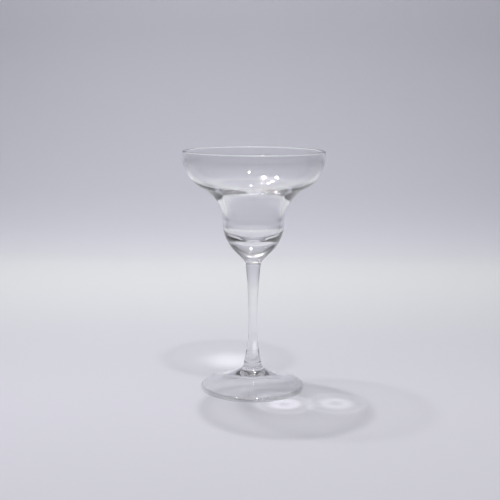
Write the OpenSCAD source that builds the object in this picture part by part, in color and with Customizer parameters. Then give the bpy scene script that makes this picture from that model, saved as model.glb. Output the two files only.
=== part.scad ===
// Margarita glass: a bowl, a drawn stem and a pressed foot, fused at two welds.
// Millimetres, +Z up. The origin is on the axis, in the plane that the foot rests on.

/* [Bowl] */
// Outer diameter of the rim
rim_d = 100.8; // [88:0.2:114]
// Wall at the rim
rim_wall = 2.7; // [2.2:0.1:4]
// Rounding of the two corners of the lip
lip_r = 0.9; // [0.5:0.1:1]
// Straight collar under the top of the lip
collar_h = 4.2; // [3.4:0.1:14]
// Outer radius of the coupe, between the collar and the shoulder
coupe_r = 24.8; // [20:0.2:30]
// How much tighter the coupe curve is inside than outside, which makes the shoulder thick
coupe_step = 5.2; // [4:0.1:7]
// Outer radius of the throat, between the shoulder and the waist
throat_r = 26.8; // [20:0.2:34]
// How much tighter the throat curve is inside than a wall of one thickness would make it
throat_step = 5.5; // [3:0.1:7]
// Outer diameter at the waist, where the wall stands upright
waist_d = 44.2; // [39:0.2:49]
// Wall at the waist
waist_wall = 3.9; // [2.5:0.1:5]
// Height above the waist where the inside begins to open
throat_rise = 2.1; // [2:0.1:5]
// Height of the cup, from the upper weld to the waist
cup_h = 31.8; // [30:0.1:40]
// Solid glass between the upper weld and the floor of the cup
base_h = 17.7; // [14:0.1:19]
// Radius of the corner between the floor and the side of the hollow
floor_corner_r = 9; // [5:0.5:12]
// Radius of the dished floor
floor_dish_r = 31; // [26:1:60]
// Half angle of the cone that the cup stands on
cone_angle = 45.5; // [41:0.5:48]
// Fillet between that cone and the upper weld
neck_fillet_r = 6; // [3:0.2:9]

/* [Stem] */
// Length of the stem between its two welds
stem_l = 64; // [40:1:110]
// Diameter where the stem is thinnest
stem_d = 6.3; // [5:0.1:8]
// Height of the thinnest place above the lower weld
thin_h = 21.5; // [12:0.5:34]
// Diameter of the stem at the upper weld
stem_top_d = 10.5; // [8.6:0.1:13]
// Diameter of the stem at the lower weld
stem_base_d = 9.7; // [8.6:0.1:12]
// How far each weld bead stands proud of the end of the stem
weld_bead = 0.12; // [0.05:0.01:0.4]

/* [Foot] */
// Diameter of the foot
foot_d = 75.2; // [71:0.2:86]
// Height of the foot, from the resting plane to the lower weld
foot_h = 26; // [22:0.5:36]
// Thickness of the foot at its edge
foot_edge = 3.1; // [2.9:0.1:4]
// Rounding of the upper corner of that edge
edge_round_r = 2.2; // [1:0.1:2.2]
// Rounding of its lower corner
edge_under_r = 0.6; // [0.3:0.1:0.7]
// Slope of the top face where it meets the edge
edge_slope = 9; // [8.5:0.5:13]
// Radius of the hollow curve of the top face
foot_top_r = 70; // [60:1:74]
// Fillet between the top face and the boss under the stem
boss_fillet_r = 6; // [3:0.2:9]
// Half angle of the tapered boss under the stem
boss_angle = 10; // [5:0.5:14]
// Width of the flat ring that the foot rests on
land_w = 4.5; // [2:0.1:8]
// Rise of the hollow underside at the axis
kick_h = 10.6; // [6:0.2:11.2]
// Radius of the crown at the top of that hollow, above its conical sides
crown_r = 36; // [20:1:40]

/* [Hidden] */
glass = [0.84, 0.88, 0.92, 0.45];
// Steps in each arc of a profile, and sides of a full turn
arc_steps = 20;
$fn = 144;

// Heights of the two welds
lower_weld_z = foot_h;
upper_weld_z = lower_weld_z + stem_l;

// Radii that one piece hands on to the next
rim_r = rim_d / 2;
waist_r = waist_d / 2;
thin_r = stem_d / 2;
stem_top_r = stem_top_d / 2;
stem_base_r = stem_base_d / 2;
neck_r = stem_top_r + weld_bead;
boss_r = stem_base_r + weld_bead;
mouth_r = rim_r - rim_wall;
hollow_r = waist_r - waist_wall;

// Shoulder outside: the coupe arc and the throat arc touch, which sets the height of the coupe's centre
waist_z = upper_weld_z + cup_h;
outer_run = waist_r + throat_r - (rim_r - coupe_r);
outer_span = coupe_r + throat_r;
outer_shoulder = acos(outer_run / outer_span);
outer_coupe_z = waist_z + outer_span * sin(outer_shoulder);
rim_z = outer_coupe_z + collar_h;

// Shoulder inside: the same two arcs, tighter and higher, so that the wall is thickest in the throat
in_coupe_r = coupe_r - coupe_step;
in_throat_r = throat_r + waist_wall - throat_step;
in_waist_z = waist_z + throat_rise;
inner_run = hollow_r + in_throat_r - (mouth_r - in_coupe_r);
inner_span = in_coupe_r + in_throat_r;
inner_shoulder = acos(inner_run / inner_span);
inner_coupe_z = in_waist_z + inner_span * sin(inner_shoulder);

// Cup: the one radius that is upright at the waist and runs tangent into the cone
cone_rise = cup_h * sin(cone_angle) - (waist_r - neck_r) * cos(cone_angle);
cup_r = cone_rise / (1 - cos(cone_angle)) - neck_fillet_r;

// Hollow of the cup: the dished floor and the rounded corner touch, and the corner ends upright
dish_c = [0, upper_weld_z + base_h + floor_dish_r];
corner_run = hollow_r - floor_corner_r;
corner_drop = sqrt(pow(floor_dish_r - floor_corner_r, 2) - corner_run * corner_run);
corner_c = [corner_run, dish_c.y - corner_drop];
corner_turn = atan2(-corner_drop, corner_run);

// Stem: radius of the long arc that flares by one amount over a length
function flare_r(length, flare) = (length * length + flare * flare) / (2 * flare);
thin_z = lower_weld_z + thin_h;
low_flare_r = flare_r(thin_h, stem_base_r - thin_r);
high_flare_r = flare_r(stem_l - thin_h, stem_top_r - thin_r);

// Foot: the rounded edge, the hollow top face tangent to it, and the fillet tangent to that face and the boss
foot_r = foot_d / 2;
edge_top_r = min(edge_round_r, foot_edge - edge_under_r);
edge_c = [foot_r - edge_top_r, foot_edge - edge_top_r];
top_c = edge_c + (foot_top_r + edge_top_r) * [sin(edge_slope), cos(edge_slope)];
boss_normal = [cos(boss_angle), sin(boss_angle)];
boss_down = [sin(boss_angle), -cos(boss_angle)];
fillet_start = [boss_r, lower_weld_z] + boss_fillet_r * boss_normal;
to_start = fillet_start - top_c;
along = to_start * boss_down;
fillet_reach = foot_top_r - boss_fillet_r;
boss_l = sqrt(along * along - to_start * to_start + fillet_reach * fillet_reach) - along;
fillet_c = fillet_start + boss_l * boss_down;
fillet_end = atan2(fillet_c.y - top_c.y, fillet_c.x - top_c.x);

// Underside: a cone rising from the resting ring, tangent to a round crown that the ring has room for
under_c = [foot_r - edge_under_r, edge_under_r];
land_r = under_c.x - land_w;
dome_r = min(crown_r, flare_r(land_r, kick_h));
dome_c = [0, kick_h - dome_r];
cone_turn = atan2(-dome_c.y, land_r) + acos(min(1, dome_r / norm([land_r, dome_c.y])));

// Points of an arc about centre c from angle a to angle b, without its first point
function arc(c, r, a, b) = [
    for (i = [1:arc_steps])
        let (t = a + (b - a) * i / arc_steps)
        c + r * [cos(t), sin(t)]
];

// Outside of the bowl, upwards from the upper weld to the lip
function bowl_outside() = concat(
    [[neck_r, upper_weld_z]],
    arc([neck_r + neck_fillet_r, upper_weld_z], neck_fillet_r, 180, 180 - cone_angle),
    [[waist_r - cup_r, waist_z] + cup_r * [cos(cone_angle), -sin(cone_angle)]],
    arc([waist_r - cup_r, waist_z], cup_r, -cone_angle, 0),
    arc([waist_r + throat_r, waist_z], throat_r, 180, 180 - outer_shoulder),
    arc([rim_r - coupe_r, outer_coupe_z], coupe_r, -outer_shoulder, 0)
);

// Inside of the bowl, downwards from the lip to the floor of the cup
function bowl_inside() = concat(
    [[mouth_r, inner_coupe_z]],
    arc([mouth_r - in_coupe_r, inner_coupe_z], in_coupe_r, 0, -inner_shoulder),
    arc([hollow_r + in_throat_r, in_waist_z], in_throat_r, 180 - inner_shoulder, 180),
    [[hollow_r, corner_c.y]],
    arc(corner_c, floor_corner_r, 0, corner_turn),
    arc(dish_c, floor_dish_r, corner_turn, -90)
);

// Lip with two rounded corners, from the outside of the rim over to the inside
function lip() = concat(
    [[rim_r, rim_z - lip_r]],
    arc([rim_r - lip_r, rim_z - lip_r], lip_r, 0, 90),
    [[mouth_r + lip_r, rim_z]],
    arc([mouth_r + lip_r, rim_z - lip_r], lip_r, 90, 180)
);

module bowl() {
    color(glass)
        rotate_extrude()
            polygon(concat([[0, upper_weld_z]], bowl_outside(), lip(), bowl_inside()));
}

module stem() {
    low_turn = asin(thin_h / low_flare_r);
    high_turn = asin((stem_l - thin_h) / high_flare_r);
    color(glass)
        rotate_extrude()
            polygon(concat(
                [[0, lower_weld_z], [stem_base_r, lower_weld_z]],
                arc([thin_r + low_flare_r, thin_z], low_flare_r, 180 + low_turn, 180),
                arc([thin_r + high_flare_r, thin_z], high_flare_r, 180, 180 - high_turn),
                [[0, upper_weld_z]]
            ));
}

module foot() {
    color(glass)
        rotate_extrude()
            polygon(concat(
                [[0, lower_weld_z], [boss_r, lower_weld_z], fillet_c - boss_fillet_r * boss_normal],
                arc(fillet_c, boss_fillet_r, boss_angle - 180, fillet_end),
                arc(top_c, foot_top_r, fillet_end, -90 - edge_slope),
                arc(edge_c, edge_top_r, 90 - edge_slope, 0),
                [[foot_r, edge_under_r]],
                arc(under_c, edge_under_r, 0, -90),
                [[land_r, 0], dome_c + dome_r * [cos(cone_turn), sin(cone_turn)]],
                arc(dome_c, dome_r, cone_turn, 90)
            ));
}

bowl();
stem();
foot();
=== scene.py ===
# %% [markdown]
# # A margarita glass
# The real object is clear soda-lime glass: a wide coupe that steps down into a small cup, a slim
# stem and a domed foot. The three are made apart and fused while hot. This script dresses the
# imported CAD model: each piece becomes a smooth turned surface with a real glass finish, on a pale
# sweep of paper under three lamps. The frame comes first, because every later piece sits in it.

# %% Load the frame
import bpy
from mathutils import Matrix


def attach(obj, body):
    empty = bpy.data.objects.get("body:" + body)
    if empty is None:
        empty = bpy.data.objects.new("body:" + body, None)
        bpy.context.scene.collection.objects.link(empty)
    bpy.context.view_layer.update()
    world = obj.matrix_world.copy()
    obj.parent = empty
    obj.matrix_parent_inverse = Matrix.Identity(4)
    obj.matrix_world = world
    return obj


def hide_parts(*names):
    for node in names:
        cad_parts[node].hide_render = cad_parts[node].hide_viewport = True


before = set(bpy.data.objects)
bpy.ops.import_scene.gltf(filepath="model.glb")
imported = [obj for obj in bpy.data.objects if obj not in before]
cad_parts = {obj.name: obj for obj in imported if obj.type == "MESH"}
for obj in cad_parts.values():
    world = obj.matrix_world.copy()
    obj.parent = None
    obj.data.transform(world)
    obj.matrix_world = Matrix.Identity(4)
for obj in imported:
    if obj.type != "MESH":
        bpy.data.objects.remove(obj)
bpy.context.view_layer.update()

MM = 0.001


# %% [markdown]
# ## Two curves that draw every profile
# A glass maker's template is made of circular arcs that touch each other, so the profiles here are
# too. Splines could follow the same outline, but they wander between their points, and glass shows
# the smallest wobble in what is seen through it. Arcs that share a tangent give clean highlights.

# %% Arc helpers
import bpy
import numpy as np

# Steps in an arc, and the distance in mm under which two points are one
SMALL, MEDIUM, LONG, LONGEST = 12, 24, 32, 48
SAME_POINT = 1e-4


def arc(centre, radius, start, stop, steps=MEDIUM):
    """Points centre + radius * (cos t, sin t), with t in equal steps of degrees, the first left out."""
    t = np.radians(np.linspace(start, stop, steps + 1))[1:]
    return np.stack([centre[0] + radius * np.cos(t), centre[1] + radius * np.sin(t)], -1)


def flare_radius(length, spread):
    """Radius of the arc that starts straight and has moved sideways by spread after length.

    By Pythagoras it is (length squared + spread squared) / (2 * spread).
    """
    return (length * length + spread * spread) / (2 * spread)


def joined(*parts):
    """One row of (radius, height) points from several, without points that fall on the one before."""
    row = np.concatenate([np.atleast_2d(np.asarray(part, float)) for part in parts])
    return row[np.r_[True, np.hypot(*np.diff(row, axis=0).T) > SAME_POINT]]


print("a quarter circle gets", len(arc((0, 0), 1, 0, 90)), "points after its first")

# %% [markdown]
# ## The two welds
# Stem, bowl and foot meet at two hot welds. Their heights and radii belong to two pieces each, so
# they are written once, here. The bead is the hair by which the softened glass stands proud of the
# end of the stem: it is the fine ring line that the photograph shows at each end of the stem.

# %% Weld sizes in millimetres
foot_h, stem_l, weld_bead = 26.0, 64.0, 0.12
lower_weld, upper_weld = foot_h, foot_h + stem_l
stem_top_r, stem_base_r = 5.25, 4.85
neck_r, boss_r = stem_top_r + weld_bead, stem_base_r + weld_bead
print("welds at", lower_weld, "and", upper_weld, "mm")

# %% [markdown]
# ## The outside of the bowl
# The outside goes up from the weld: a small fillet, a cone, the round of the cup to the waist, the
# throat, the coupe and a short straight collar. It could be one spline through measured points, but
# the maker's mould is turned from arcs, and each of those has a radius that can be measured.

# %% Bowl outside
rim_r, coupe_r, throat_r, waist_r = 50.4, 24.8, 26.8, 22.1
cup_h, cone_angle, neck_fillet_r = 31.8, 45.5, 6.0


def touching(low_r, high_r, run):
    """Two arcs that touch, on centres a sideways run apart.

    Gives the turn of each in degrees, arccos(run / sum of radii), and the rise between the centres.
    """
    turn = np.arccos(run / (low_r + high_r))
    return np.degrees(turn), (low_r + high_r) * np.sin(turn)


def bowl_outside():
    """Weld, fillet, cone, cup, throat and coupe, upwards; the cup's arc touches both cone and waist."""
    lean = np.radians(cone_angle)
    cone_rise = cup_h * np.sin(lean) - (waist_r - neck_r) * np.cos(lean)
    cup_r = cone_rise / (1 - np.cos(lean)) - neck_fillet_r
    waist_z = upper_weld + cup_h
    turn, rise = touching(throat_r, coupe_r, waist_r + throat_r - (rim_r - coupe_r))
    return joined(
        [neck_r, upper_weld],
        arc((neck_r + neck_fillet_r, upper_weld), neck_fillet_r, 180, 180 - cone_angle),
        arc((waist_r - cup_r, waist_z), cup_r, -cone_angle, 0, LONG),
        arc((waist_r + throat_r, waist_z), throat_r, 180, 180 - turn, LONG),
        arc((rim_r - coupe_r, waist_z + rise), coupe_r, -turn, 0, LONG),
    )


outside_row = bowl_outside()
print("outside of the bowl:", len(outside_row), "points, up to", round(outside_row[-1, 1], 2), "mm")

# %% [markdown]
# ## The inside of the bowl
# The inside isn't a copy of the outside at one distance: its two curves are tighter and sit higher,
# so the shoulder is thick, and the floor of the cup is a shallow dish over a lump of solid glass.
# That uneven wall makes the dark shoulder and the dark band under the cup, so an offset of the
# outside wouldn't do, and the inside is drawn on its own.

# %% Bowl inside and lip
rim_wall, lip_r, collar_h, waist_wall = 2.7, 0.9, 4.2, 3.9
coupe_step, throat_step, throat_rise = 5.2, 5.5, 2.1
base_h, floor_corner_r, floor_dish_r = 17.7, 9.0, 31.0


def bowl_inside():
    """Coupe, throat, straight side, corner and dished floor, downwards; each arc touches the next."""
    mouth_r, hollow_r = rim_r - rim_wall, waist_r - waist_wall
    in_coupe_r, in_throat_r = coupe_r - coupe_step, throat_r + waist_wall - throat_step
    open_z = upper_weld + cup_h + throat_rise
    turn, rise = touching(in_throat_r, in_coupe_r, hollow_r + in_throat_r - (mouth_r - in_coupe_r))
    dish_z = upper_weld + base_h + floor_dish_r
    run = hollow_r - floor_corner_r
    drop = np.sqrt((floor_dish_r - floor_corner_r) ** 2 - run**2)
    corner_turn = np.degrees(np.arctan2(-drop, run))
    return joined(
        [mouth_r, open_z + rise],
        arc((mouth_r - in_coupe_r, open_z + rise), in_coupe_r, 0, -turn, LONG),
        arc((hollow_r + in_throat_r, open_z), in_throat_r, 180 - turn, 180, LONG),
        [hollow_r, dish_z - drop],
        arc((run, dish_z - drop), floor_corner_r, 0, corner_turn),
        arc((0, dish_z), floor_dish_r, corner_turn, -90),
    )


def bowl_lip(top):
    """Two rounded corners over the rim, from its outside to its inside."""
    inner_r = rim_r - rim_wall + lip_r
    return joined(
        [rim_r, top - lip_r],
        arc((rim_r - lip_r, top - lip_r), lip_r, 0, 90, SMALL),
        [inner_r, top],
        arc((inner_r, top - lip_r), lip_r, 90, 180, SMALL),
    )


rim_z = outside_row[-1, 1] + collar_h
bowl_row = joined([0, upper_weld], outside_row, bowl_lip(rim_z), bowl_inside())
print("bowl:", len(bowl_row), "points, rim at", round(rim_z, 2), "mm")

# %% [markdown]
# ## The stem's profile
# A stem is drawn: the hot rod is pulled until it necks. That gives one thinnest place with a long
# flare to each end, and two arcs that share an upright tangent there say exactly that.

# %% Stem profile
thin_r, thin_h = 3.15, 21.5


def stem_profile():
    """Lower weld, low flare to the thinnest place, high flare to the upper weld, closed on the axis."""
    high_h = stem_l - thin_h
    low, high = flare_radius(thin_h, stem_base_r - thin_r), flare_radius(high_h, stem_top_r - thin_r)
    low_turn, high_turn = np.degrees(np.arcsin([thin_h / low, high_h / high]))
    thin_z = lower_weld + thin_h
    return joined(
        [0, lower_weld],
        [stem_base_r, lower_weld],
        arc((thin_r + low, thin_z), low, 180 + low_turn, 180, LONG),
        arc((thin_r + high, thin_z), high, 180, 180 - high_turn, LONGEST),
        [0, upper_weld],
    )


stem_row = stem_profile()
print("stem:", len(stem_row), "points, thinnest", round(2 * stem_row[1:-1, 0].min(), 2), "mm")

# %% [markdown]
# ## The foot's profile
# The foot is pressed: a tapered boss runs by a fillet into a hollow top face, which ends in an edge
# with a wide round above and a small one below. Underneath, a flat ring rests on the table and the
# rest rises as a shallow cone with a round crown. A flat underside would show a dark mirror image of
# the stem; the raised one leaves the foot clear, as in the photograph.

# %% Foot profile
foot_r, foot_edge, edge_slope, foot_top_r = 37.6, 3.1, 9.0, 70.0
edge_round_r, edge_under_r = 2.2, 0.6
boss_fillet_r, boss_angle = 6.0, 10.0
land_w, kick_h, crown_r = 4.5, 10.6, 36.0
ring_r = foot_r - edge_under_r - land_w


def foot_top():
    """Boss, fillet, top face and edge, downwards; the fillet slides down the boss to touch the face."""
    slope, lean = np.radians([edge_slope, boss_angle])
    edge = np.array([foot_r - edge_round_r, foot_edge - edge_round_r])
    top = edge + (foot_top_r + edge_round_r) * np.array([np.sin(slope), np.cos(slope)])
    out = np.array([np.cos(lean), np.sin(lean)])
    down = np.array([np.sin(lean), -np.cos(lean)])
    away = np.array([boss_r, lower_weld]) + boss_fillet_r * out - top
    along = away @ down
    slide = np.sqrt(along**2 - away @ away + (foot_top_r - boss_fillet_r) ** 2) - along
    fillet = top + away + slide * down
    end = np.degrees(np.arctan2(*(fillet - top)[::-1]))
    return joined(
        [boss_r, lower_weld],
        fillet - boss_fillet_r * out,
        arc(fillet, boss_fillet_r, boss_angle - 180, end),
        arc(top, foot_top_r, end, -90 - edge_slope, LONGEST),
        arc(edge, edge_round_r, 90 - edge_slope, 0, SMALL),
    )


def foot_underside():
    """Lower edge, resting ring, cone and crown, inwards; the cone leaves the ring and touches the crown."""
    crown = np.array([0, kick_h - crown_r])
    touch = np.arctan2(-crown[1], ring_r) + np.arccos(crown_r / np.hypot(ring_r, crown[1]))
    return joined(
        [foot_r, edge_under_r],
        arc((foot_r - edge_under_r, edge_under_r), edge_under_r, 0, -90, SMALL),
        [ring_r, 0],
        arc(crown, crown_r, np.degrees(touch), 90, LONG),
    )


foot_row = joined([0, lower_weld], foot_top(), foot_underside())[::-1]
print("foot:", len(foot_row), "points, resting ring", round(ring_r, 2), "mm inside radius")

# %% [markdown]
# ## Turning a profile into a piece
# All three pieces are bodies of revolution. Blender's Screw modifier or Spin could turn a profile,
# but here the surface is worked out as whole arrays: a grid of profile points by turn angles, with
# one point at each pole. The flat weld faces get a material of their own, and the ring round each
# is marked sharp, so that the flat end doesn't bend the smooth normals of the wall beside it.

# %% Turned surface
TURNS = 256


def mark_welds(mesh, quad_count, steps, weld_low, weld_high):
    """Gives the fan of triangles at a weld the second material, and makes the ring round it sharp."""
    face = np.arange(len(mesh.polygons))
    on_low = (face >= quad_count) & (face < quad_count + TURNS)
    on_high = face >= quad_count + TURNS
    on_weld = (weld_low & on_low) | (weld_high & on_high)
    mesh.polygons.foreach_set("material_index", on_weld.astype(np.int32))
    ends = np.empty(len(mesh.edges) * 2, np.int32)
    mesh.edges.foreach_get("vertices", ends)
    step = ends.reshape(-1, 2) // TURNS
    sharp = (weld_low & (step == 0).all(1)) | (weld_high & (step == steps - 1).all(1))
    mesh.attributes.new("sharp_edge", "BOOLEAN", "EDGE").data.foreach_set("value", sharp)


def turned(name, row, weld_low=False, weld_high=False):
    """Piece with the point (r cos a, r sin a, z) for each profile point (r, z) and each turn a.

    The first and last points of the row lie on the axis and are the two poles.
    """
    ring, steps = row[1:-1] * MM, len(row) - 2
    a = np.linspace(0, 2 * np.pi, TURNS, endpoint=False)
    x, y = ring[:, :1] * np.cos(a), ring[:, :1] * np.sin(a)
    wall = np.stack([x, y, np.repeat(ring[:, 1:], TURNS, 1)], -1)
    poles = [[0, 0, row[0, 1] * MM], [0, 0, row[-1, 1] * MM]]
    here = np.arange(TURNS)
    beside = (here + 1) % TURNS
    low = np.arange(steps - 1)[:, None] * TURNS
    high = low + TURNS
    quads = np.stack([low + here, low + beside, high + beside, high + here], -1).reshape(-1, 4)
    low_pole, high_pole, top_ring = steps * TURNS, steps * TURNS + 1, (steps - 1) * TURNS
    low_fan = np.stack([np.full(TURNS, low_pole), beside, here], -1)
    high_fan = np.stack([np.full(TURNS, high_pole), top_ring + here, top_ring + beside], -1)
    mesh = bpy.data.meshes.new(name)
    points = np.concatenate([wall.reshape(-1, 3), poles])
    mesh.from_pydata(points.tolist(), [], quads.tolist() + low_fan.tolist() + high_fan.tolist())
    mesh.shade_smooth()
    mark_welds(mesh, len(quads), steps, weld_low, weld_high)
    piece = bpy.data.objects.new(name, mesh)
    bpy.context.scene.collection.objects.link(piece)
    return piece


bowl = turned("bowl_turned", bowl_row, weld_low=True)
stem = turned("stem_drawn", stem_row, weld_low=True, weld_high=True)
foot = turned("foot_pressed", foot_row, weld_high=True)
print("turned:", [(piece.name, len(piece.data.polygons)) for piece in (bowl, stem, foot)])

# %% [markdown]
# ## Which way the faces point
# Glass needs faces that all point outwards, because the shader asks at each face whether light goes
# in or out. Blender could show that in colour in its viewport. The signed volume tells it in one
# number: it is the real volume only where the whole skin is closed and points outwards.

# %% Volume of each piece
CM3 = 1e6


def volume_cm3(piece):
    """Signed volume: the sum over triangles of corner . (corner x corner) / 6."""
    mesh = piece.data
    mesh.calc_loop_triangles()
    corners = np.empty(len(mesh.loop_triangles) * 3, np.int32)
    points = np.empty(len(mesh.vertices) * 3)
    mesh.loop_triangles.foreach_get("vertices", corners)
    mesh.vertices.foreach_get("co", points)
    p, q, r = points.reshape(-1, 3)[corners.reshape(-1, 3)].transpose(1, 0, 2)
    return CM3 * np.einsum("ij,ij->", p, np.cross(q, r)) / 6


for piece in (bowl, stem, foot):
    print(piece.name, round(volume_cm3(piece), 2), "cm3")

# %% [markdown]
# ## Nodes by a short call
# Every finish below is a small tree of shader nodes. In Blender's editor they are dragged and wired
# by hand. Here one call adds a node, sets its sockets, and wires those that take another's output.

# %% Node helpers
def empty_tree(holder):
    """Node tree of a material, lamp or world, switched on and cleared."""
    holder.use_nodes = True
    holder.node_tree.nodes.clear()
    return holder.node_tree


def add_node(tree, kind, sockets=None, **settings):
    """New node of a kind; a socket gets a value, or a link where an output is given for it."""
    node = tree.nodes.new("ShaderNode" + kind)
    for key, value in settings.items():
        setattr(node, key, value)
    for key, value in (sockets or {}).items():
        if isinstance(value, bpy.types.NodeSocket):
            tree.links.new(value, node.inputs[key])
        else:
            node.inputs[key].default_value = value
    return node


def add_ramp(tree, place, stops, interpolation="LINEAR"):
    """Colour through stops of (place from 0 to 1, colour), as the output of a ramp."""
    ramp = add_node(tree, "ValToRGB", {"Fac": place})
    ramp.color_ramp.interpolation = interpolation
    for spot, _ in stops[1:-1]:
        ramp.color_ramp.elements.new(spot)
    for element, (spot, colour) in zip(ramp.color_ramp.elements, stops):
        element.position, element.color = spot, (*colour, 1.0)
    return ramp.outputs["Color"]


def grey(stops):
    """Stops of (place, level) as stops of (place, colour)."""
    return [(spot, (level, level, level)) for spot, level in stops]


print("a mid grey stop is", grey([(0.5, 0.5)])[0])

# %% [markdown]
# ## Light that passes through the glass
# A path tracer finds light through curved glass slowly, so rays from lamps and from the matt paper
# pass through a plain clear shader instead, darker where the glass is seen edge on: that gives the
# soft grey shadow with a darker rim. Camera rays meet real refracting glass.

# %% Clear shader for lamp rays
edge_blend = 0.25


def passing_light(tree, shadow):
    """A switch, 1 for shadow and diffuse rays, and a clear shader that darkens towards edge on."""
    edge_on = add_node(tree, "LayerWeight", {"Blend": edge_blend}).outputs["Facing"]
    shade = add_node(tree, "MapRange", {"Value": edge_on, "To Min": shadow[0], "To Max": shadow[1]})
    clear = add_node(tree, "BsdfTransparent", {"Color": shade.outputs["Result"]})
    ray = add_node(tree, "LightPath").outputs
    rays = {0: ray["Is Shadow Ray"], 1: ray["Is Diffuse Ray"]}
    switch = add_node(tree, "Math", rays, operation="MAXIMUM")
    return switch.outputs["Value"], clear.outputs["BSDF"]


print("clear shader darkens with a blend of", edge_blend)

# %% [markdown]
# ## Clear glass
# Soda-lime glass is almost colourless, with a refractive index near 1.52. What makes it look real is
# the small unevenness: faint cords, which run round the spun bowl and along the drawn stem and break
# up the highlights, and a polish that isn't quite even. Both come from noise on Object coordinates:
# the cords' noise is stretched along the working direction into a very shallow bump, and the polish's
# noise goes unstretched into the roughness.

# %% Glass material
GLASS_IOR, GLASS_TINT = 1.52, (0.995, 0.997, 1.0, 1.0)
cord_detail, smear_scale, smear_detail = 3.0, 90.0, 4.0
smears_from, smears_to, roughest_smear = 0.45, 0.75, 0.02


def uneven_polish(tree, place):
    """Roughness from fine noise: none where the noise is low, a trace where it is high."""
    noise = {"Vector": place, "Scale": smear_scale, "Detail": smear_detail}
    smears = add_node(tree, "TexNoise", noise).outputs["Fac"]
    span = {"Value": smears, "From Min": smears_from, "From Max": smears_to}
    finish = add_node(tree, "MapRange", {**span, "To Min": 0.0, "To Max": roughest_smear})
    return finish.outputs["Result"]


def clear_glass(name, stretch, cord_scale, cord_depth, shadow):
    """Refracting glass with cords of noise, stretched along x, y and z; also gives its shader."""
    material = bpy.data.materials.new(name)
    tree = empty_tree(material)
    place = add_node(tree, "TexCoord").outputs["Object"]
    drawn = add_node(tree, "Mapping", {"Vector": place, "Scale": stretch}).outputs["Vector"]
    noise = {"Vector": drawn, "Scale": cord_scale, "Detail": cord_detail}
    cords = add_node(tree, "TexNoise", noise).outputs["Fac"]
    bump = add_node(tree, "Bump", {"Height": cords, "Strength": 1.0, "Distance": cord_depth})
    glass = add_node(tree, "BsdfPrincipled", {
        "Base Color": GLASS_TINT,
        "IOR": GLASS_IOR,
        "Transmission Weight": 1.0,
        "Roughness": uneven_polish(tree, place),
        "Normal": bump.outputs["Normal"],
    })
    switch, clear = passing_light(tree, shadow)
    split = add_node(tree, "MixShader", {"Fac": switch, 1: glass.outputs["BSDF"], 2: clear})
    add_node(tree, "OutputMaterial", {"Surface": split.outputs["Shader"]})
    return material, glass


bowl_glass, _ = clear_glass(
    "bowl_fire_polished_glass",
    stretch=(0.12, 0.12, 1.0), cord_scale=420.0, cord_depth=1.2e-5, shadow=(0.87, 0.5),
)
stem_glass, _ = clear_glass(
    "stem_drawn_glass",
    stretch=(1.0, 1.0, 0.06), cord_scale=220.0, cord_depth=3e-6, shadow=(0.96, 0.4),
)
foot_glass, foot_shader = clear_glass(
    "foot_pressed_glass",
    stretch=(1.0, 1.0, 1.0), cord_scale=70.0, cord_depth=4e-6, shadow=(1.0, 0.6),
)
print("glass finishes:", [m.name for m in (bowl_glass, stem_glass, foot_glass)])

# %% [markdown]
# ## The scuffed resting ring
# A glass that is used wears where it stands: the flat ring under the foot gets a fine grey matting.
# It is added to the foot's own finish as roughness, wherever the height is almost zero, broken up
# by fine noise so that it looks rubbed and not painted.

# %% Scuffs under the foot
scuff_h, scuff_full_share, scuff_roughness = 1.5e-4, 0.2, 0.35
rub_scale, rub_detail = 900.0, 2.0


def scuff_ring(material, shader):
    """Adds roughness under scuff_h: a ramp that falls to nothing there, times fine noise."""
    tree = material.node_tree
    polish = shader.inputs["Roughness"].links[0].from_socket
    place = add_node(tree, "TexCoord").outputs["Object"]
    height = add_node(tree, "SeparateXYZ", {"Vector": place}).outputs["Z"]
    span = {"Value": height, "From Min": scuff_h, "From Max": scuff_full_share * scuff_h}
    low = add_node(tree, "MapRange", {**span, "To Max": scuff_roughness}).outputs["Result"]
    noise = {"Vector": place, "Scale": rub_scale, "Detail": rub_detail}
    rub = add_node(tree, "TexNoise", noise).outputs["Fac"]
    total = add_node(tree, "Math", {0: low, 1: rub, 2: polish}, operation="MULTIPLY_ADD")
    tree.links.new(total.outputs["Value"], shader.inputs["Roughness"])


scuff_ring(foot_glass, foot_shader)
print("resting ring scuffed below", round(scuff_h / MM, 2), "mm")

# %% [markdown]
# ## The fused faces
# Where two pieces are fused there is no air between them, so light crosses the weld without bending.
# The two flat faces that meet there are still part of the closed pieces. A plain clear shader on
# them makes the pair invisible, and the glass on both sides then acts as one body.

# %% Weld material, and the pieces in the frame
weld_face = bpy.data.materials.new("fused_face")
weld_tree = empty_tree(weld_face)
weld_clear = add_node(weld_tree, "BsdfTransparent")
add_node(weld_tree, "OutputMaterial", {"Surface": weld_clear.outputs["BSDF"]})

finishes = (bowl, "bowl", bowl_glass), (stem, "stem", stem_glass), (foot, "foot", foot_glass)
for piece, node, finish in finishes:
    piece.data.materials.append(finish)
    piece.data.materials.append(weld_face)
    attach(piece, "root")
    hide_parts(node)

# %% [markdown]
# ## A sweep of pale paper
# The glass stands on paper that curves up behind it with no corner. A floor and a wall would show a
# line through the clear glass. The sweep is a profile carried straight across: floor, quarter
# circle, upright wall.

# %% Sweep
BACK, CURVE, TALL, REACH = 0.50, 0.30, 1.2, 2.5


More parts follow.
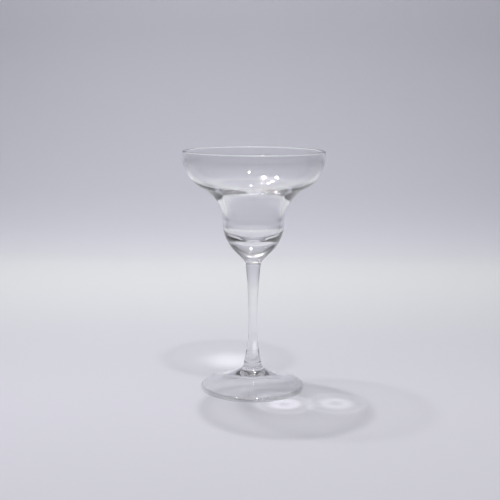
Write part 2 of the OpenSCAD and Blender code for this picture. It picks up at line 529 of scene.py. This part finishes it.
def paper_sweep():
    """Profile of a floor to BACK, a quarter circle of radius CURVE and a wall, carried across x."""
    t = np.radians(np.linspace(-90, 0, LONGEST))
    bend = np.stack([BACK + CURVE * np.cos(t), CURVE + CURVE * np.sin(t)], -1)
    row = np.concatenate([[[-REACH, 0.0]], bend, [[BACK + CURVE, TALL]]])
    across = np.repeat([[-REACH], [REACH]], len(row), 1)
    points = np.concatenate([across[..., None], np.stack([row, row])], -1).reshape(-1, 3)
    n = np.arange(len(row) - 1)
    faces = np.stack([n + len(row), n + len(row) + 1, n + 1, n], -1)
    mesh = bpy.data.meshes.new("paper_sweep")
    mesh.from_pydata(points.tolist(), [], faces.tolist())
    mesh.shade_smooth()
    sweep = bpy.data.objects.new("paper_sweep", mesh)
    bpy.context.scene.collection.objects.link(sweep)
    return sweep


sweep = paper_sweep()
print("paper:", len(sweep.data.polygons), "faces")

# %% [markdown]
# ## Painted light on the paper
# The paper's colour carries painted light: a painted bright band behind the glass that fades to a cool
# grey above, so the colour follows one coordinate that grows along the sweep: the distance back plus
# the height. More lamps could light it so, but they would show in the glass. Far to the sides and in
# front a painted shade darkens the paper, as light falls off where lamps stand close to a small table,
# and the edges of clear glass then have something to show.

# %% Paper material with painted light
# Painted light: the paper's colour along the sweep, a painted bright band behind the glass, cooler grey
# above
painted_light_stops = [
    (-0.05, (0.71, 0.705, 0.768)),
    (0.15, (0.68, 0.685, 0.729)),
    (0.46, (0.82, 0.83, 0.845)),
    (0.62, (0.742, 0.746, 0.81)),
    (0.76, (0.671, 0.673, 0.746)),
    (1.10, (0.68, 0.68, 0.747)),
]
# Painted shade: where the fade to the sides and in front starts and ends, and how far it dims the paper
pool_from, pool_to, painted_shade_dim = 0.95, 1.45, 0.3
# How fast the painted shade comes on to the sides, in front and upwards
fade_weights = (1.0, 2.0, 0.9)


def painted_pool_shade(tree, place):
    """Painted shade: fade from 1 to the dim share by weighted distances to the side, in front and upwards.
    """
    limit = (REACH, 0.0, REACH)
    front = add_node(tree, "VectorMath", {0: place, 1: limit}, operation="MINIMUM").outputs["Vector"]
    size = add_node(tree, "VectorMath", {0: front}, operation="ABSOLUTE").outputs["Vector"]
    away = add_node(tree, "VectorMath", {0: size, 1: fade_weights}, operation="DOT_PRODUCT")
    span = {"Value": away.outputs["Value"], "From Min": pool_from, "From Max": pool_to}
    levels = {"To Min": 1.0, "To Max": painted_shade_dim}
    fade = add_node(tree, "MapRange", {**span, **levels}, interpolation_type="SMOOTHSTEP")
    return fade.outputs["Result"]


def paper_with_painted_light(stops):
    """Matt paper with painted light: colour through stops by distance back plus height, times painted
    shade.
    """
    material = bpy.data.materials.new("pale_paper_painted_light")
    tree = empty_tree(material)
    place = add_node(tree, "TexCoord").outputs["Object"]
    part = add_node(tree, "SeparateXYZ", {"Vector": place}).outputs
    along = add_node(tree, "Math", {0: part["Y"], 1: part["Z"]}).outputs["Value"]
    first, last = stops[0][0], stops[-1][0]
    span = {"Value": along, "From Min": first, "From Max": last}
    share = add_node(tree, "MapRange", span).outputs["Result"]
    shares = [((spot - first) / (last - first), colour) for spot, colour in stops]
    colour = add_ramp(tree, share, shares, "CARDINAL")
    faded = {0: colour, "Scale": painted_pool_shade(tree, place)}
    # Painted light: the paper colour times the painted shade of the fade
    shaded = add_node(tree, "VectorMath", faded, operation="SCALE").outputs["Vector"]
    matt = add_node(tree, "BsdfDiffuse", {"Color": shaded})
    add_node(tree, "OutputMaterial", {"Surface": matt.outputs["BSDF"]})
    return material


sweep.data.materials.append(paper_with_painted_light(painted_light_stops))
print("paper shaded through", len(painted_light_stops), "stops")

# %% [markdown]
# ## Lamps
# The glass has three shadows on the paper, so there are three lamps. The middle of each shadow gives
# a lamp's direction, and the size of the rim's shadow gives its distance: one high in front and a
# little to the right, one high behind, and a nearer, weaker one behind to the left. They are small
# discs, because each shows in the glass as a small bright spot.

# %% Lamps
from mathutils import Vector

glass_middle = Vector((0, 0, 0.08))


def round_lamp(name, place, across, watts):
    """Round area lamp that faces the middle of the glass."""
    light = bpy.data.lights.new(name, "AREA")
    light.shape, light.size, light.energy = "DISK", across, watts
    lamp = bpy.data.objects.new(name, light)
    lamp.location = place
    lamp.rotation_mode = "QUATERNION"
    lamp.rotation_quaternion = (glass_middle - Vector(place)).to_track_quat("-Z", "Y")
    bpy.context.scene.collection.objects.link(lamp)
    return lamp


lamps = [
    round_lamp("lamp_front", place=(0.248, -0.976, 2.3), across=0.16, watts=13.8),
    round_lamp("lamp_back", place=(-0.124, 0.275, 1.1), across=0.045, watts=4.75),
    round_lamp("lamp_back_left", place=(-0.195, 0.156, 0.73), across=0.04, watts=1.0),
]
print("lamps:", [(lamp.name, lamp.data.energy) for lamp in lamps])

# %% [markdown]
# ## Light that the glass gathers
# A bowl of clear glass is a lens: inside each soft shadow it throws a bright patch on the table, with
# rings in it. Tracing that light from matt paper back through the glass to a lamp takes thousands of
# samples, and the clear shader for lamp rays leaves it out. Tiny spot lamps close over the paper put
# it back, one inside each shadow and a weak one under the foot, with the rings in the beam. They
# stand for light on the paper alone, so they are kept out of what the glass mirrors.

# %% Gathered light
bulb_r, beam_margin = 0.002, 1.1
two_rings = [
    (0.0, 0.3), (0.14, 0.3), (0.33, 1.0), (0.5, 0.5),
    (0.64, 0.15), (0.78, 0.15), (0.9, 0.45), (1.0, 0.0),
]
soft_pool = [(0.0, 0.9), (0.35, 0.9), (0.7, 0.3), (1.0, 0.0)]


def gathered_light(name, middle, reach, watts, rings, hang=0.1):
    """Spot lamp hung over the paper; the sine of the angle off its axis goes through the rings."""
    light = bpy.data.lights.new(name, "SPOT")
    spread = np.arctan(reach / hang)
    light.energy, light.shadow_soft_size, light.spot_blend = watts, bulb_r, 0.0
    light.spot_size = 2 * beam_margin * spread
    tree = empty_tree(light)
    aim = add_node(tree, "TexCoord").outputs["Normal"]
    sideways = (1.0, 1.0, 0.0)
    flat = add_node(tree, "VectorMath", {0: aim, 1: sideways}, operation="MULTIPLY").outputs["Vector"]
    off_axis = add_node(tree, "VectorMath", {0: flat}, operation="LENGTH").outputs["Value"]
    span = {"Value": off_axis, "From Max": np.sin(spread)}
    share = add_node(tree, "MapRange", span).outputs["Result"]
    glow = add_node(tree, "Emission", {"Strength": add_ramp(tree, share, grey(rings), "B_SPLINE")})
    add_node(tree, "OutputLight", {"Surface": glow.outputs["Emission"]})
    lamp = bpy.data.objects.new(name, light)
    lamp.location = (*middle, hang)
    lamp.visible_glossy = lamp.visible_transmission = False
    bpy.context.scene.collection.objects.link(lamp)
    return lamp


patches = [
    gathered_light("gathered_front", (-0.0175, 0.068), reach=0.031, watts=0.15, rings=soft_pool),
    gathered_light("gathered_back", (0.0221, -0.0405), reach=0.021, watts=0.2, rings=two_rings),
    gathered_light("gathered_back_left", (0.0575, -0.0385), reach=0.0225, watts=0.13, rings=two_rings),
    gathered_light("gathered_foot", (0.003, -0.010), reach=0.018, watts=0.02, rings=soft_pool, hang=0.06),
]
print("patches of gathered light:", [patch.name for patch in patches])

# %% [markdown]
# ## The room
# Round the paper the room is dim low down and pale overhead, a little darker to the right. Clear
# glass has no colour of its own: its dark lines are the dim part of the room, bent into view. A
# picture of a studio could stand here, but a few stops of grey say all that the glass can show.

# %% Room light
# Stops of (sine of elevation, strength), and how the strength leans towards x, y and z
room_stops = [(0.0, 0.12), (0.06, 0.07), (0.5, 0.07), (0.75, 0.22), (0.95, 0.42), (1.0, 0.44)]
room_lean = (-0.045, 0.015, 0.0)
room_tint = (0.97, 0.97, 1.0, 1.0)


def dim_room(stops, towards):
    """World strength through stops by elevation, plus the dot product of direction and towards."""
    world = bpy.data.worlds.new("studio_room")
    tree = empty_tree(world)
    look = add_node(tree, "TexCoord").outputs["Generated"]
    height = add_node(tree, "SeparateXYZ", {"Vector": look}).outputs["Z"]
    level = add_ramp(tree, height, grey(stops))
    lean = add_node(tree, "VectorMath", {0: look, 1: towards}, operation="DOT_PRODUCT")
    total = add_node(tree, "Math", {0: level, 1: lean.outputs["Value"]}).outputs["Value"]
    glow = add_node(tree, "Background", {"Color": room_tint, "Strength": total})
    add_node(tree, "OutputWorld", {"Surface": glow.outputs["Background"]})
    return world


scene = bpy.context.scene
scene.world = dim_room(room_stops, room_lean)
print("room light:", scene.world.name)

# %% [markdown]
# ## Camera and view
# The camera was found from the outlines of rim, foot and stem: a 70 mm lens 0.69 m in front, level
# with a point a little above the rim, tipped 9.5 degrees down and a third of a degree over. Aiming it
# with a Track To constraint would be quicker, but couldn't give that small roll.

# %% Camera
from mathutils import Matrix

pitch, roll = np.radians([9.4765, -0.351])
camera_place = (-0.00237, -0.686, 0.2156)
lens_mm, sensor_mm = 70.0, 36.0

ahead = np.array([0, np.cos(pitch), -np.sin(pitch)])
down = np.array([0, -np.sin(pitch), -np.cos(pitch)])
across = np.array([np.cos(roll), 0, 0]) + np.sin(roll) * down
below = np.array([-np.sin(roll), 0, 0]) + np.cos(roll) * down
turn = np.eye(4)
turn[:3, :3] = np.stack([across, -below, -ahead], -1)
turn[:3, 3] = camera_place

camera_data = bpy.data.cameras.new("camera")
camera_data.lens, camera_data.sensor_width = lens_mm, sensor_mm
camera = bpy.data.objects.new("camera", camera_data)
camera.matrix_world = Matrix(turn.tolist())
scene.collection.objects.link(camera)
scene.camera = camera
print("camera at", [round(c, 3) for c in camera.location])

# %% [markdown]
# ## How light is followed
# Light bounces often inside thick glass, so the bounce limits are raised; otherwise rim and stem go
# black. A lamp mirrored in glass is many times brighter than white, and Cycles cuts such samples
# short by default, which turns sparkles grey, so that limit is off. The gathered light is made by
# lamps of its own, so Cycles needn't look for it.

# %% Light paths
glass_bounces, clear_bounces = 128, 32
cycles = scene.cycles
cycles.max_bounces = cycles.transmission_bounces = cycles.glossy_bounces = glass_bounces
cycles.transparent_max_bounces = clear_bounces
cycles.sample_clamp_indirect = 0.0
cycles.caustics_refractive = cycles.caustics_reflective = False
scene.view_settings.view_transform = "Standard"
print("bounces:", cycles.max_bounces)
